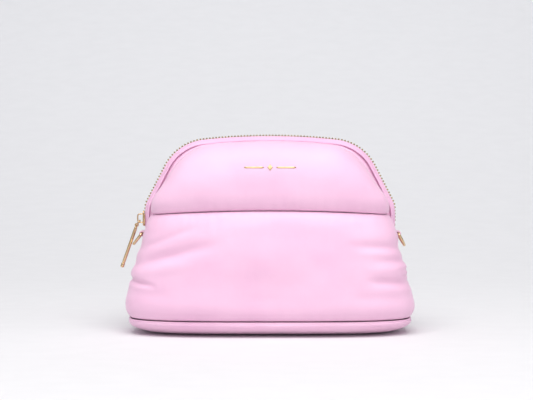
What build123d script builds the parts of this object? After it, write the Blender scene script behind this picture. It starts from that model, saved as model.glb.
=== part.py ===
"""Dome-shaped padded makeup bag with a metal zip, its slider and puller, and two side D-rings.

Millimetres. +X is to the wearer's right of the front face, the front face looks along -Y, +Z is up.
The origin is the centre of the flat underside. The zip's chain lies in the plane y = 0.
"""

from build123d import *
from math import asin, atan2, cos, hypot, pi, radians, sin, sqrt
import os

os.makedirs("parts", exist_ok=True)

# Driving dimensions of the bag.
Z_BASE_SEAM = 11.0  # height of the seam round the base
Z_FOLD = 98.0  # height of the seam between the lower and upper panels
Z_TOP = 155.8  # crown of the zip's chain
LOWER_PROFILE = [  # (height, half width, half depth) of the lower body
    (Z_BASE_SEAM, 112.4, 42.5),
    (21.0, 115.2, 46.0),
    (33.0, 113.2, 46.0),
    (47.0, 109.6, 44.5),
    (62.0, 106.4, 42.0),
    (80.0, 100.4, 38.5),
    (Z_FOLD, 97.0, 36.0),
]
UPPER_PROFILE = [  # (depth, half width at the fold, height above the fold) of the upper panels
    (9.5, 93.6, 52.6),
    (16.0, 93.0, 50.0),
    (22.0, 90.5, 44.5),
    (28.0, 84.0, 35.0),
    (32.5, 72.0, 23.5),
    (35.3, 54.3, 11.5),
]
BASE_PROFILE = [(0.0, 104.0, 34.5), (4.0, 109.8, 40.2), (Z_BASE_SEAM, 112.4, 42.5)]
SQUARENESS = 4.0  # exponent of the horizontal outline: 2 is an ellipse
SKIN, WADDING, LINING = 0.8, 4.6, 0.5  # thickness of each layer
MARK_HEIGHT = 133.0
FOLD_BAND = 14.0  # the soft crease above the fold, where the front bends
SEAM_DEPTH = UPPER_PROFILE[0][0]  # where the upper panels meet the zip facings

# The zip.
CHAIN_RADIUS = 99.0  # half the distance between the two ends of the chain
Z_ENDS = 91.0  # height of the slider at either end
Z_CHAIN_START = 84.2
SIDE_TILT = 27.3  # lean of the chain's straight sides
BEND_RADIUS, CORNER_RADIUS, CROWN_RADIUS = 18.0, 38.0, 495.0
PITCH = 2.5  # one row's tooth spacing
TOOTH = (1.05, 3.0, 2.3)  # along the chain, across it from the cord, and through it
TOOTH_REACH = 0.8  # how far a tooth passes the centre line
TAPE_THICK, TAPE_EDGE, TAPE_FAR = 0.6, 3.05, 7.0
FACING_START, FACING_THICK = 5.0, 0.75
FACING_INSET = 5.6  # how far inside the chain's outline the facing meets the panel

# The slider, in its own frame: along the chain, across it, and outwards from it.
SLIDER_LENGTH, SLIDER_WIDTH = 12.4, 9.2
PLATE_IN, PLATE_OUT = 1.5, 2.6
SLOT = 0.6  # half the gap that the tape runs through
FLANGE = 1.2
WEDGE_LENGTH, WEDGE_WIDTH = 2.8, 1.5
CROWN_SPAN, CROWN_WIDE, CROWN_HEIGHT, CROWN_WALL = 8.0, 2.6, 4.9, 1.3

# Puller.
LINK_WIRE, LINK_TILT, LINK_DROP, LINK_WIDE = 0.6, 35.0, 4.4, 5.4
LINK_AXIS_UP, LINK_AXIS_OUT = -1.9, 5.2  # its hinge axis in the slider's frame
EYE_RADIUS, EYE_HOLE, EYE_WIDE = 1.7, 0.72, 2.2
BAR_RADIUS, BAR_LENGTH, BAR_TILT = 1.3, 31.0, 19.5
CAP_RADIUS, CAP_LENGTH = 1.5, 3.8

# D-rings.
RING_WIRE = 1.1
RING_WIDE, RING_DROP = 16.0, 11.0  # between the wire's axes: along the straight bar, and below it
LEFT_RING_TILT, RIGHT_RING_TILT = 37.5, 28.0
RING_PIVOT = (102.4, 79.0)  # distance from the middle, and height
TAB_WIDTH, TAB_THICK = 9.5, 1.0

FRONT, BACK = -1, 1
LEFT, RIGHT = -1, 1


def save(name, shape):
    export_step(shape, f"parts/{name}.step")


def outline(half_width, half_depth, side, count=9):
    """Points of the front or back half of a horizontal outline, from -X to +X."""
    points = [(-half_width, 0.0)]
    for i in range(1, 2 * count):
        angle = pi * i / (2 * count)
        c, s = cos(angle), sin(angle)
        x = -half_width * (1 if c > 0 else -1) * abs(c) ** (2 / SQUARENESS)
        points.append((x, side * half_depth * s ** (2 / SQUARENESS)))
    return [*points, (half_width, 0.0)]


def half_section(z, half_width, half_depth, side):
    """A closed wire round the front or back half of a horizontal section."""
    points = [(x, y, z) for x, y in outline(half_width, half_depth, side)]
    return Wire([Spline(*points).edge(), Line(points[-1], points[0]).edge()])


def full_section(z, half_width, half_depth):
    """A closed wire round a whole horizontal section."""
    front = [(x, y, z) for x, y in outline(half_width, half_depth, FRONT)]
    back = [(x, y, z) for x, y in outline(half_width, half_depth, BACK)]
    return Wire([Spline(*front).edge(), Spline(*back[::-1]).edge()])


def half_body(profile, side, inset):
    """Half of a lofted body whose outline is pulled in by inset all round."""
    return Solid.make_loft([half_section(z, a - inset, b - inset, side) for z, a, b in profile])


def full_body(profile, inset):
    """A whole lofted body whose outline is pulled in by inset all round."""
    return Solid.make_loft([full_section(z, a - inset, b - inset) for z, a, b in profile])


# --- the zip's path ---------------------------------------------------------------


def chain_segments():
    """The chain's right half from its lower end to the crown, as (kind, data, length).

    An arc's data are its centre, radius, first and last angle from +X; a line's are its two ends.
    """
    start = asin((Z_CHAIN_START - Z_ENDS) / CHAIN_RADIUS)
    fold = asin((Z_FOLD - Z_ENDS) / CHAIN_RADIUS)
    tilt = radians(SIDE_TILT)
    end_arc = ("arc", (0.0, Z_ENDS, CHAIN_RADIUS, start, fold))
    shrink = CHAIN_RADIUS - BEND_RADIUS
    bx, bz = shrink * cos(fold), Z_ENDS + shrink * sin(fold)
    bend = ("arc", (bx, bz, BEND_RADIUS, fold, tilt))
    px, pz = bx + BEND_RADIUS * cos(tilt), bz + BEND_RADIUS * sin(tilt)
    # The corner's centre is CORNER_RADIUS inside the side line and CROWN_RADIUS - CORNER_RADIUS
    # from the crown arc's centre.
    qx, qz = px - CORNER_RADIUS * cos(tilt), pz - CORNER_RADIUS * sin(tilt)
    tz = Z_TOP - CROWN_RADIUS
    reach = CROWN_RADIUS - CORNER_RADIUS
    dx, dz = -sin(tilt), cos(tilt)
    b = qx * dx + (qz - tz) * dz
    c = qx * qx + (qz - tz) ** 2 - reach * reach
    run = -b + sqrt(b * b - c)
    sx, sz = px + dx * run, pz + dz * run
    cx, cz = qx + dx * run, qz + dz * run
    crown = atan2(cz - tz, cx)
    side = ("line", (px, pz, sx, sz))
    corner = ("arc", (cx, cz, CORNER_RADIUS, tilt, crown))
    top = ("arc", (0.0, tz, CROWN_RADIUS, crown, pi / 2))
    return [end_arc, bend, side, corner, top]


SEGMENTS = chain_segments()


def segment_length(segment):
    kind, data = segment
    if kind == "arc":
        return data[2] * (data[4] - data[3])
    return hypot(data[2] - data[0], data[3] - data[1])


HALF_LENGTH = sum(segment_length(s) for s in SEGMENTS)
END_LENGTH = segment_length(SEGMENTS[0])


def chain_point(s):
    """Place (x, z) and outward direction (x, z) at distance s along the chain from its right end."""
    flip = 1
    if s > HALF_LENGTH:
        s, flip = 2 * HALF_LENGTH - s, -1
    for segment in SEGMENTS:
        long = segment_length(segment)
        if s <= long or segment is SEGMENTS[-1]:
            break
        s -= long
    kind, data = segment
    if kind == "arc":
        cx, cz, r, a0, _ = data
        a = a0 + s / r
        return flip * (cx + r * cos(a)), cz + r * sin(a), flip * cos(a), sin(a)
    x0, z0, x1, z1 = data
    dx, dz = (x1 - x0) / long, (z1 - z0) / long
    return flip * (x0 + dx * s), z0 + dz * s, flip * dz, -dx


def arch_edges(offset, y, from_fold):
    """The chain's path moved outwards by offset, in the plane y, from right to left."""
    edges = []
    parts = SEGMENTS[1:] if from_fold else SEGMENTS
    for flip, order in ((1, parts), (-1, parts[::-1])):
        for kind, d in order:
            if kind == "arc":
                r = d[2] + offset
                angles = (d[3], (d[3] + d[4]) / 2, d[4])
                pts = [(flip * (d[0] + r * cos(a)), y, d[1] + r * sin(a)) for a in angles]
                pts = pts if flip == 1 else pts[::-1]
                edges.append(ThreePointArc(*pts).edge())
            else:
                nx, nz = cos(radians(SIDE_TILT)) * offset, sin(radians(SIDE_TILT)) * offset
                pts = [(flip * (d[0] + nx), y, d[1] + nz), (flip * (d[2] + nx), y, d[3] + nz)]
                pts = pts if flip == 1 else pts[::-1]
                edges.append(Line(*pts).edge())
    return edges


def band_wire(low, high, y, from_fold):
    """A closed wire round the arch-shaped band between two offsets of the chain's path."""
    outer, inner = arch_edges(high, y, from_fold), arch_edges(low, y, from_fold)
    ends = [Line(outer[0] @ 0, inner[0] @ 0).edge(), Line(outer[-1] @ 1, inner[-1] @ 1).edge()]
    return Wire(outer + inner + ends)


def arch_band(low, high, y0, y1, from_fold=True):
    """An arch-shaped band of that thickness, from y0 to y1."""
    face = Face(band_wire(low, high, y0, from_fold))
    return extrude(face, amount=y1 - y0, dir=(0, 1, 0))


# --- soft panels ------------------------------------------------------------------


def dome_wire(y, half_width, height):
    """A closed dome outline in the plane y, from just below the fold line upwards."""
    points = []
    steps = 14
    arch = 2 * (HALF_LENGTH - END_LENGTH)
    for i in range(steps + 1):
        x, z, _, _ = chain_point(END_LENGTH + arch * i / steps)
        rise = (z - Z_FOLD) / (Z_TOP - Z_FOLD) * height
        points.append((x / CHAIN_RADIUS * half_width, y, Z_FOLD + rise))
    ends = [(p[0], y, Z_FOLD - 1.0) for p in (points[0], points[-1])]
    corners = [points[-1], ends[1], ends[0], points[0]]
    sides = [Line(p, q).edge() for p, q in zip(corners, corners[1:])]
    return Wire([Spline(*points).edge(), *sides])


def dome_body(side, inset):
    """The upper half-body on one side, pulled in by inset."""
    span = UPPER_PROFILE[-1][0] - SEAM_DEPTH
    wires = []
    for depth, half_width, height in UPPER_PROFILE:
        y = SEAM_DEPTH + (depth - SEAM_DEPTH) * (span - inset) / span
        if inset and depth == SEAM_DEPTH:
            y -= 1.0
        wires.append(dome_wire(side * y, half_width - inset, height - inset))
    return Solid.make_loft(wires)


LAYERS = {
    "shell": (0.0, SKIN),
    "padding": (SKIN, SKIN + WADDING),
    "lining": (SKIN + WADDING, SKIN + WADDING + LINING),
}


def above(shape, z):
    return shape & Pos(0, 0, z + 200) * Box(600, 600, 400)


def below(shape, z):
    return shape & Pos(0, 0, z - 200) * Box(600, 600, 400)


def upper_panels(side, name):
    """The skin, wadding and lining of an upper panel."""
    for layer, (outer, inner) in LAYERS.items():
        panel = above(dome_body(side, outer) - dome_body(side, inner), Z_FOLD)
        panel = panel & Pos(0, side * (SEAM_DEPTH + 100), 0) * Box(600, 200, 600)
        if side == FRONT and layer == "padding":
            save(f"{name}_fold_{layer}", below(panel, Z_FOLD + FOLD_BAND))
            panel = above(panel, Z_FOLD + FOLD_BAND)
        save(f"{name}_{layer}", panel)


def end_notches():
    """Space for the zip's ends at the top of the side seams."""
    notch = Box(40, 2 * TAPE_FAR, 40)
    return [Pos(side * 105, 0, Z_CHAIN_START + 20) * notch for side in (LEFT, RIGHT)]


def lower_panels(side, name):
    """The skin, wadding and lining of a lower panel."""
    for layer, (outer, inner) in LAYERS.items():
        panel = half_body(LOWER_PROFILE, side, outer) - half_body(LOWER_PROFILE, side, inner)
        for notch in end_notches():
            panel = panel - notch
        save(f"{name}_{layer}", panel)


def base_layer(low, high, inset):
    """A slab of the base's own outline between two heights, pulled in by inset."""
    return below(above(full_body(BASE_PROFILE, inset), low), high)


def base():
    """The base's skin, foam, stiffening board and lining."""
    whole = base_layer(0.0, Z_BASE_SEAM, 0.0)
    hollow = above(base_layer(0.0, Z_BASE_SEAM, SKIN), SKIN)
    save("base_shell", whole - hollow)
    levels = (("padding", 3.2), ("board", 1.2), ("lining", LINING))
    z = SKIN
    for name, thick in levels:
        save(f"base_{name}", base_layer(z, z + thick, SKIN))
        z += thick


# --- zip --------------------------------------------------------------------------


STOP_ROOM = 3.2  # length of chain taken by a stop
RIGHT_JOINED = STOP_ROOM + 2.4 * PITCH  # where the rows start to part at the right end
LEFT_JOINED = 2 * HALF_LENGTH - END_LENGTH
PARKED_WEDGE = (RIGHT_JOINED, END_LENGTH)  # the chain beside the wedge when the zip is open
WEDGE_ROOM = WEDGE_WIDTH / 2 + 0.15


def tooth_at(s, side):
    """One tooth of the front or back row, cut short where the slider's wedge parks."""
    along, across, through = TOOTH
    x, z, nx, nz = chain_point(s)
    reach = -WEDGE_ROOM if PARKED_WEDGE[0] < s < PARKED_WEDGE[1] else TOOTH_REACH
    width = across + reach
    body = Box(along, width, through)
    body = chamfer(body.edges().filter_by(Axis.X), 0.45)
    plane = Plane(origin=(x, 0, z), x_dir=(-nz, 0, nx), z_dir=(nx, 0, nz))
    middle = side * (across - reach) / 2
    return plane * Pos(0, middle * (1 if plane.y_dir.Y > 0 else -1), 0) * body


def teeth(side, first, last):
    """Teeth of one row between two distances along the chain."""
    shift = 0.25 * PITCH * (1 if side == BACK else -1)
    count = int(2 * HALF_LENGTH / PITCH)
    places = [(i + 0.5) * PITCH + shift for i in range(count)]
    return [tooth_at(s, side) for s in places if first < s < last]




def block_at(s, along, y0, y1, low, high):
    """A block on the chain at distance s, between two depths and two offsets."""
    x, z, nx, nz = chain_point(s)
    plane = Plane(origin=(x, 0, z), x_dir=(-nz, 0, nx), z_dir=(nx, 0, nz))
    flip = 1 if plane.y_dir.Y > 0 else -1
    block = Box(along, y1 - y0, high - low)
    return plane * Pos(0, flip * (y0 + y1) / 2, (low + high) / 2) * block


def zip_fastener():
    """Tapes, teeth, stops and the folded fabric facings beside the chain."""
    half = TAPE_THICK / 2
    for side, name in ((FRONT, "front"), (BACK, "back")):
        near, far = sorted((side * TAPE_EDGE, side * TAPE_FAR))
        save(f"{name}_zip_tape", above(arch_band(-half, half, near, far, from_fold=False), Z_FOLD))
        save(f"{name}_zip_teeth", Compound(children=teeth(side, RIGHT_JOINED, LEFT_JOINED)))
        facing(side, name)
    joined = {
        "right": (STOP_ROOM, RIGHT_JOINED),
        "left": (LEFT_JOINED, 2 * HALF_LENGTH - STOP_ROOM - 1.0),
    }
    for name, (first, last) in joined.items():
        both = teeth(FRONT, first, last) + teeth(BACK, first, last)
        save(f"{name}_end_teeth", Compound(children=both))
    stops()
    end_tapes()


def stops():
    """A two-pronged top stop at the closed end and one bottom stop at the other."""
    thick = TOOTH[2] / 2
    at = 2 * HALF_LENGTH - STOP_ROOM / 2
    prongs = [block_at(at, 2.0, *sorted((side * 1.2, side * 3.0)), -thick, thick) for side in (FRONT, BACK)]
    save("zip_top_stops", Compound(children=prongs))
    stop = block_at(STOP_ROOM / 2, 2.0, -3.0, 3.0, -thick, thick)
    save("zip_bottom_stop", stop)


def end_tapes():
    """The tape's lower ends beside the joined teeth at both sides."""
    half = TAPE_THICK / 2
    pieces = []
    for side in (FRONT, BACK):
        near, far = sorted((side * TAPE_EDGE, side * (TAPE_FAR - 0.05)))
        band = arch_band(-half, half, near, far, from_fold=False)
        pieces += below(band, Z_FOLD).solids()
    save("zip_end_tapes", Compound(children=pieces))


def facing(side, name):
    """The folded fabric strip between the tape and the panel's edge."""
    half = TAPE_THICK / 2 + 0.02
    y0, y1, y2 = side * FACING_START, side * TAPE_FAR, side * SEAM_DEPTH
    flat = arch_band(half, half + FACING_THICK, *sorted((y0, y1)))
    near = band_wire(half, half + FACING_THICK, y1, True)
    far = band_wire(-FACING_INSET - FACING_THICK, -FACING_INSET, y2, True)
    slope = Solid.make_loft([near, far], ruled=True)
    save(f"{name}_zip_facing", above(flat + slope, Z_FOLD))


# --- slider and puller --------------------------------------------------------------


def chain_frame(point_x, point_z, out_x, out_z):
    """A location whose X runs up the chain, Y towards the back and Z outwards, at the left side."""
    return Plane(origin=(point_x, 0, point_z), x_dir=(out_z, 0, -out_x), z_dir=(out_x, 0, out_z))


SLIDER_FRAME = chain_frame(-CHAIN_RADIUS, Z_ENDS, -1, 0)


def slider():
    """Two plates joined by a wedge, with flanges either side of the tape's slot."""
    plates = []
    mid, thick = (PLATE_IN + PLATE_OUT) / 2, PLATE_OUT - PLATE_IN
    for out in (-1, 1):
        plate = Box(SLIDER_LENGTH, SLIDER_WIDTH, thick)
        plate = fillet(plate.edges().filter_by(Axis.Z), 2.2)
        plates.append(Pos(0, 0, out * mid) * plate)
        for side in (FRONT, BACK):
            rim = Box(SLIDER_LENGTH - 4.4, FLANGE, PLATE_IN - SLOT)
            y = side * (SLIDER_WIDTH - FLANGE) / 2
            plates.append(Pos(0, y, out * (PLATE_IN + SLOT) / 2) * rim)
    wedge_x = -(SLIDER_LENGTH - WEDGE_LENGTH) / 2
    plates.append(Pos(wedge_x, 0, 0) * Box(WEDGE_LENGTH, WEDGE_WIDTH, 2 * PLATE_IN))
    body = plates[0]
    for piece in plates[1:]:
        body = body + piece
    save("slider_body", SLIDER_FRAME * body)
    crown()


def crown():
    """The bridge on the outer plate that the link is threaded through."""
    block = Pos(0, 0, PLATE_OUT + CROWN_HEIGHT / 2) * Box(CROWN_SPAN, CROWN_WIDE, CROWN_HEIGHT)
    block = fillet(block.edges().filter_by(Axis.Y).group_by(Axis.Z)[-1], 1.6)
    tall = CROWN_HEIGHT - CROWN_WALL
    hole = Pos(0, 0, PLATE_OUT + tall / 2) * Box(CROWN_SPAN - 2 * CROWN_WALL, 10, tall)
    save("slider_crown", SLIDER_FRAME * (block - hole))


def down_plane(tilt, axis, side):
    """A plane in a hinge axis: its X runs along +Y, and a piece drawn along its -Y hangs outwards."""
    t = radians(tilt)
    return Plane(
        origin=(axis[0], 0, axis[1]),
        x_dir=(0, 1, 0),
        z_dir=(cos(t), 0, side * sin(t)),
    )


def rounded_ring(width, drop, wire, corner):
    """A closed ring of round wire whose straight top bar lies on the X axis, hanging to -Y."""
    path = (Pos(0, -drop / 2, 0) * RectangleRounded(width, drop, corner)).face().outer_wire()
    start = Plane(origin=path @ 0, z_dir=path % 0)
    return sweep(start * Circle(wire), path=path)


LINK_AXIS = (-CHAIN_RADIUS - LINK_AXIS_OUT, Z_ENDS + LINK_AXIS_UP)
BAR_AXIS = (
    LINK_AXIS[0] - LINK_DROP * sin(radians(LINK_TILT)),
    LINK_AXIS[1] - LINK_DROP * cos(radians(LINK_TILT)),
)


def puller():
    """The link through the crown, and the long bar with its end cap."""
    ring = rounded_ring(LINK_WIDE, LINK_DROP, LINK_WIRE, 1.4)
    save("puller_link", down_plane(LINK_TILT, LINK_AXIS, LEFT) * ring)
    plane = down_plane(BAR_TILT, BAR_AXIS, LEFT)
    eye = Rot(0, 90, 0) * (Cylinder(EYE_RADIUS, EYE_WIDE) - Cylinder(EYE_HOLE, EYE_WIDE + 1))
    neck = EYE_RADIUS - 0.35
    shaft = Pos(0, -neck - BAR_LENGTH / 2, 0) * Rot(90, 0, 0) * Cylinder(BAR_RADIUS, BAR_LENGTH)
    save("puller_bar", plane * (eye + shaft))
    cap = Rot(90, 0, 0) * Cylinder(CAP_RADIUS, CAP_LENGTH)
    cap = chamfer(cap.edges(), 0.35)
    save("puller_cap", plane * (Pos(0, -neck - BAR_LENGTH - CAP_LENGTH / 2, 0) * cap))


def d_ring(side, tilt, name):
    """A D-ring hanging from its tab, with its straight bar on the hinge axis."""
    axis = (side * RING_PIVOT[0], RING_PIVOT[1])
    half = RING_WIDE / 2
    bow = ThreePointArc((half, 0), (0, -RING_DROP), (-half, 0)).edge()
    bar = Line((-half, 0), (half, 0)).edge()
    face = Face(Wire([bow, bar]))
    path = face.fillet_2d(1.8, face.vertices()).outer_wire()
    start = Plane(origin=path @ 0, z_dir=path % 0)
    ring = sweep(start * Circle(RING_WIRE), path=path)
    save(f"{name}_d_ring", down_plane(tilt, axis, side) * ring)


def ring_tab(side, name):
    """The folded fabric loop round the ring's straight bar, sewn into the side seam."""
    px, pz = side * RING_PIVOT[0], RING_PIVOT[1]
    inner = RING_WIRE + 0.12
    loop = Cylinder(inner + TAB_THICK, TAB_WIDTH) - Cylinder(inner, TAB_WIDTH + 1)
    tail = Pos(-side * 3.6, 0, 0) * Box(4.4, 2 * TAB_THICK, TAB_WIDTH)
    tail = tail - Cylinder(inner, TAB_WIDTH + 1)
    tab = Pos(px, 0, pz) * Rot(90, 0, 0) * (loop + tail)
    body = half_body(LOWER_PROFILE, FRONT, -0.05) + half_body(LOWER_PROFILE, BACK, -0.05)
    save(f"{name}_ring_tab", (tab - body))


def foil_mark():
    """A small plain ornament on the upper front panel: a lozenge between two bars."""
    y = -UPPER_PROFILE[-1][0] - 0.35
    lozenge = Pos(0, y, MARK_HEIGHT) * Rot(0, 45, 0) * Box(3.0, 0.3, 3.0)
    bars = [Pos(x, y, MARK_HEIGHT) * Box(14.0, 0.3, 1.1) for x in (-12.0, 12.0)]
    save("foil_mark", Compound(children=[lozenge, *bars]))


def main():
    base()
    for side, name in ((FRONT, "front"), (BACK, "back")):
        lower_panels(side, f"{name}_lower")
        upper_panels(side, f"{name}_upper")
    zip_fastener()
    slider()
    puller()
    d_ring(LEFT, LEFT_RING_TILT, "left")
    d_ring(RIGHT, RIGHT_RING_TILT, "right")
    ring_tab(LEFT, "left")
    ring_tab(RIGHT, "right")
    foil_mark()


main()
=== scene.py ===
"""Looks for the padded makeup bag: soft panels, zip, puller, rings, materials, light and camera."""

import bpy
import bmesh
import math
import numpy as np
from mathutils import Matrix, Vector, noise


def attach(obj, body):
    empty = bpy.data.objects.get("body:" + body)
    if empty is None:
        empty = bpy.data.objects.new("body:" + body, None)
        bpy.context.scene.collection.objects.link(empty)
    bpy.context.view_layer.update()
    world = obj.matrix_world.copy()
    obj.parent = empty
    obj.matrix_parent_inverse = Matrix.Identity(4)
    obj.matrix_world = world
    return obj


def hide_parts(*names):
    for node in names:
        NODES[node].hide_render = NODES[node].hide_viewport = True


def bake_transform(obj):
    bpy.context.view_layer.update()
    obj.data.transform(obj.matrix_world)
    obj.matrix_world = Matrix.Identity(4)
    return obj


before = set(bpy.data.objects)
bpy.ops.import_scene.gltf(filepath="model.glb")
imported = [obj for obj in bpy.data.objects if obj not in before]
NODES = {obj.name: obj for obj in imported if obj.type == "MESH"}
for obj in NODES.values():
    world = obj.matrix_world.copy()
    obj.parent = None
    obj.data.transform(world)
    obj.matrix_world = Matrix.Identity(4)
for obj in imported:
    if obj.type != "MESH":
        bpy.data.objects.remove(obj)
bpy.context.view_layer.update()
MM = 0.001
FRONT, BACK = -1, 1

# ------------------------------------------------------------------ shape of the bag, in mm
Z_BASE, Z_FOLD, Z_TOP = 12.4, 98.0, 155.8
CHAIN_R, Z_ENDS, Z_START = 99.0, 91.0, 78.4
TILT, BEND_R, CORNER_R, CROWN_R = math.radians(27.3), 18.0, 38.0, 495.0
BELOW = 5.9  # how far the zip's tapes and facings run on below its teeth
SEAM_Y = 9.5  # depth at which a panel meets the zip's facing
PITCH = 2.5  # one row's tooth spacing
ROWS = [  # height, half width, half depth of the lower body
    (12.4, 113.0, 42.6), (21.0, 115.4, 45.6), (33.0, 113.3, 46.6), (47.0, 110.0, 46.0),
    (62.0, 106.0, 44.5), (80.0, 101.2, 41.5), (98.0, 98.2, 38.0),
]
SQUARE = 3.3


def curve_through(x, table):
    """Smooth values at x of a curve through a table's rows."""
    t = np.array(table, float)
    xs, ys = t[:, 0], t[:, 1:]
    slope = np.gradient(ys, xs, axis=0)
    x = np.clip(np.asarray(x, float), xs[0], xs[-1])
    k = np.clip(np.searchsorted(xs, x) - 1, 0, len(xs) - 2)
    h = (xs[k + 1] - xs[k])[..., None]
    f = (x - xs[k])[..., None] / h
    a, b = ys[k], ys[k + 1]
    return (
        a * (2 * f**3 - 3 * f**2 + 1) + b * (3 * f**2 - 2 * f**3)
        + h * (slope[k] * (f**3 - 2 * f**2 + f) + slope[k + 1] * (f**3 - f**2))
    )


def smooth(t):
    t = np.clip(t, 0, 1)
    return t * t * (3 - 2 * t)


def resample(points, count):
    """count points at even distances along a polyline, ends included."""
    points = np.asarray(points, float)
    run = np.concatenate([[0], np.cumsum(np.linalg.norm(np.diff(points, axis=0), axis=1))])
    at = np.linspace(0, run[-1], count)
    return np.stack([np.interp(at, run, points[:, i]) for i in range(points.shape[1])], axis=1)


def half_chain():
    """The chain's right half from its lower end to the crown, as fine points (x, z)."""
    start = math.asin((Z_START - Z_ENDS) / CHAIN_R)
    fold = math.asin((Z_FOLD - Z_ENDS) / CHAIN_R)
    a = np.linspace(start, fold, 60)
    pts = [np.stack([CHAIN_R * np.cos(a), Z_ENDS + CHAIN_R * np.sin(a)], 1)]
    shrink = CHAIN_R - BEND_R
    bx, bz = shrink * math.cos(fold), Z_ENDS + shrink * math.sin(fold)
    a = np.linspace(fold, TILT, 40)[1:]
    pts.append(np.stack([bx + BEND_R * np.cos(a), bz + BEND_R * np.sin(a)], 1))
    px, pz = pts[-1][-1]
    qx, qz = px - CORNER_R * math.cos(TILT), pz - CORNER_R * math.sin(TILT)
    tz, reach = Z_TOP - CROWN_R, CROWN_R - CORNER_R
    dx, dz = -math.sin(TILT), math.cos(TILT)
    b = qx * dx + (qz - tz) * dz
    run = -b + math.sqrt(b * b - (qx * qx + (qz - tz) ** 2 - reach * reach))
    pts.append(np.stack([px + dx * np.linspace(0, run, 120)[1:], pz + dz * np.linspace(0, run, 120)[1:]], 1))
    cx, cz = qx + dx * run, qz + dz * run
    crown = math.atan2(cz - tz, cx)
    a = np.linspace(TILT, crown, 120)[1:]
    pts.append(np.stack([cx + CORNER_R * np.cos(a), cz + CORNER_R * np.sin(a)], 1))
    a = np.linspace(crown, math.pi / 2, 160)[1:]
    pts.append(np.stack([CROWN_R * np.cos(a), tz + CROWN_R * np.sin(a)], 1))
    return np.concatenate(pts)


_half = half_chain()
PATH = np.concatenate([_half * [-1, 1], _half[::-1][1:]])  # from the left end over to the right
RUN = np.concatenate([[0], np.cumsum(np.linalg.norm(np.diff(PATH, axis=0), axis=1))])
LENGTH = RUN[-1]


def chain(s):
    """Points (x, z) and outward directions at distances s along the chain from its left end."""
    s = np.atleast_1d(np.asarray(s, float))
    p = np.stack([np.interp(s, RUN, PATH[:, i]) for i in range(2)], 1)
    q0 = np.stack([np.interp(s - 1.5, RUN, PATH[:, i]) for i in range(2)], 1)
    q1 = np.stack([np.interp(s + 1.5, RUN, PATH[:, i]) for i in range(2)], 1)
    t = q1 - q0
    t /= np.linalg.norm(t, axis=1)[:, None]
    return p, np.stack([-t[:, 1], t[:, 0]], 1)


FOLD_S = float(RUN[np.argmax(PATH[:, 1] >= Z_FOLD)])


def seam_inset(x):
    """How far inside the chain the panel's arch seam runs: less over the top than down the sides."""
    return 3.4 + 3.0 * smooth((np.abs(x) - 40) / 45)


def edge_depth(z):
    """Depth of the lower panel's side edge: 0 on the side seam, opening out beside the zip's end."""
    return SEAM_Y * smooth((z - 74.0) / 11.0)


def fold_rise(x):
    """The fold seam's rise over its level at the sides."""
    return -2.0 + 3.8 * (1 - np.clip(np.abs(x) / 96.0, 0, 1) ** 2.2)


def outline_points(a, b, edge, side, count):
    """Even points round a horizontal outline from the left edge to the right one."""
    ang = np.linspace(0, math.pi, 721)
    x = -a * np.sign(np.cos(ang)) * np.abs(np.cos(ang)) ** (2 / SQUARE)
    y = b * np.abs(np.sin(ang)) ** (2 / SQUARE)
    keep = y >= edge
    return resample(np.stack([x[keep], side * y[keep]], 1), count)


def grid_normals(p):
    du, dv = np.gradient(p, axis=0), np.gradient(p, axis=1)
    n = np.cross(du, dv)
    size = np.linalg.norm(n, axis=2, keepdims=True)
    return n / np.maximum(size, 1e-9)


def round_over(d, radius, depth):
    """How far a padded surface drops towards a seam that is d away."""
    t = np.clip(1 - d / radius, 0, 1)
    return depth * (1 - np.sqrt(np.clip(1 - t * t, 0, 1)))


def field(p, scale, seed):
    """Smooth noise at each point of a grid, about -1 to 1."""
    flat = p.reshape(-1, 3) / scale
    off = Vector((seed * 7.31, seed * 3.17, seed * 1.93))
    return np.array([noise.noise(Vector(v) + off) for v in flat]).reshape(p.shape[:-1])


def crease(p, start, end, width, height, skew=0.0):
    """A soft fold along a line on the front or back: it fades towards both ends."""
    a, b = np.array(start, float), np.array(end, float)
    d = b - a
    long = np.linalg.norm(d)
    q = p[..., [0, 2]] - a
    along = (q @ d) / long**2
    across = (q[..., 0] * d[1] - q[..., 1] * d[0]) / long
    across = across + skew * long * (along - 0.5) ** 2
    fade = np.sin(np.pi * np.clip(along, 0, 1)) ** 1.3
    return height * fade * np.exp(-((across / width) ** 2))


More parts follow.
